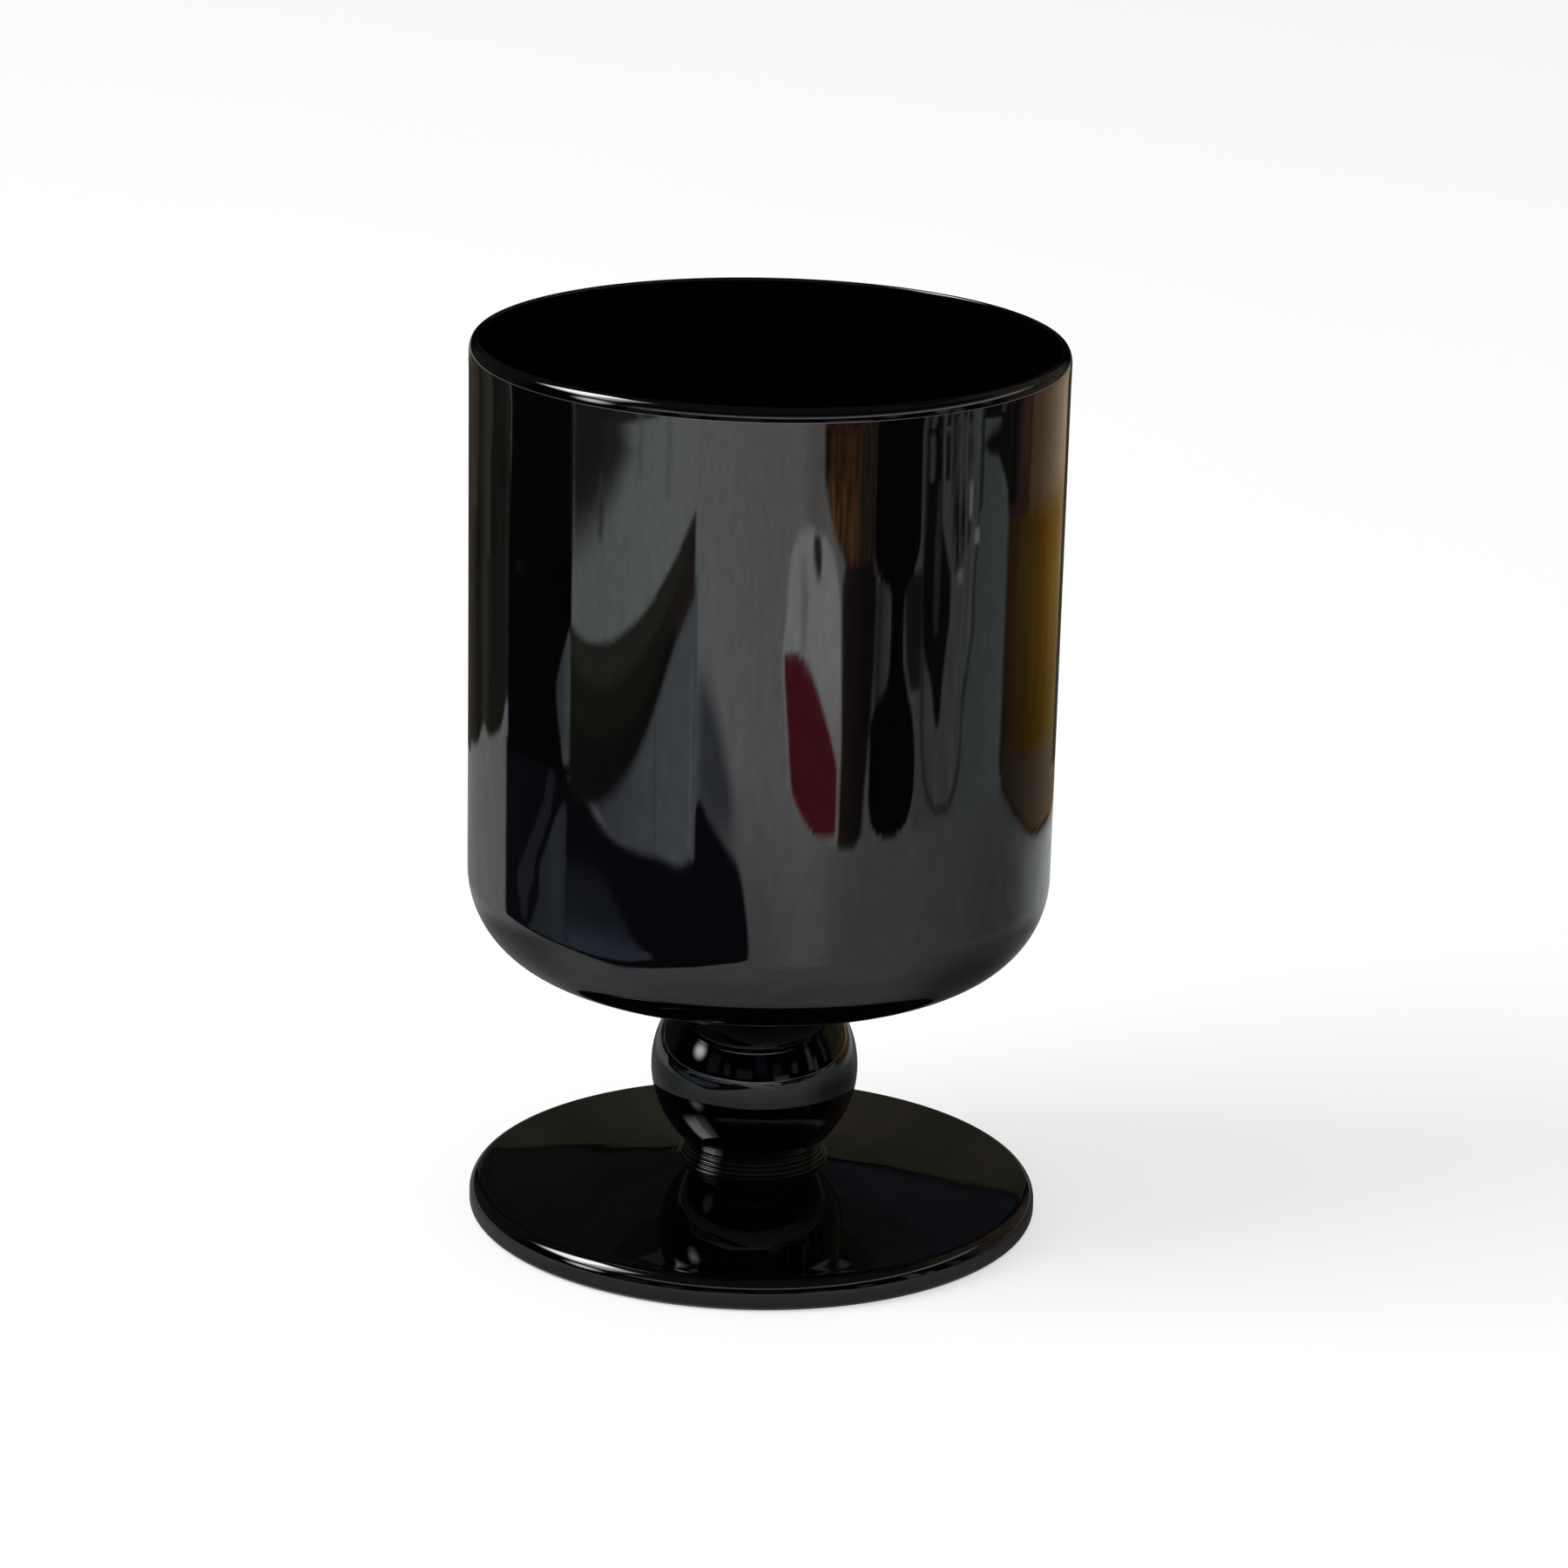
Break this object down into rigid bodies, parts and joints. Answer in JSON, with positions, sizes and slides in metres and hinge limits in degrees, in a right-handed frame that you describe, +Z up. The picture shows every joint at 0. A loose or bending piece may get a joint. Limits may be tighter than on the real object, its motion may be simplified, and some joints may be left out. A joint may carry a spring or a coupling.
{
  "type": "stemmed goblet",
  "caption": "Black glass goblet: a straight-sided blown bowl on a ball knop with a merese above and below it, and a round foot.",
  "frame": {"origin": "middle of the face that the foot stands on", "axes": "+Z up along the axis of the goblet; X and Y are any two level directions, because the shape is round"},
  "size_m": [0.08, 0.08, 0.1228],
  "materials": {
    "bowl_glass": "opaque black, fire-polished, high gloss",
    "stem_glass": "opaque black, fire-polished, high gloss",
    "foot_glass": "opaque black, fire-polished, ground pontil mark underneath"
  },
  "bodies": {
    "root": {"bowl": "bowl_glass", "upper_merese": "stem_glass", "ball_knop": "stem_glass", "lower_merese": "stem_glass", "foot": "foot_glass"}
  },
  "joints": []
}
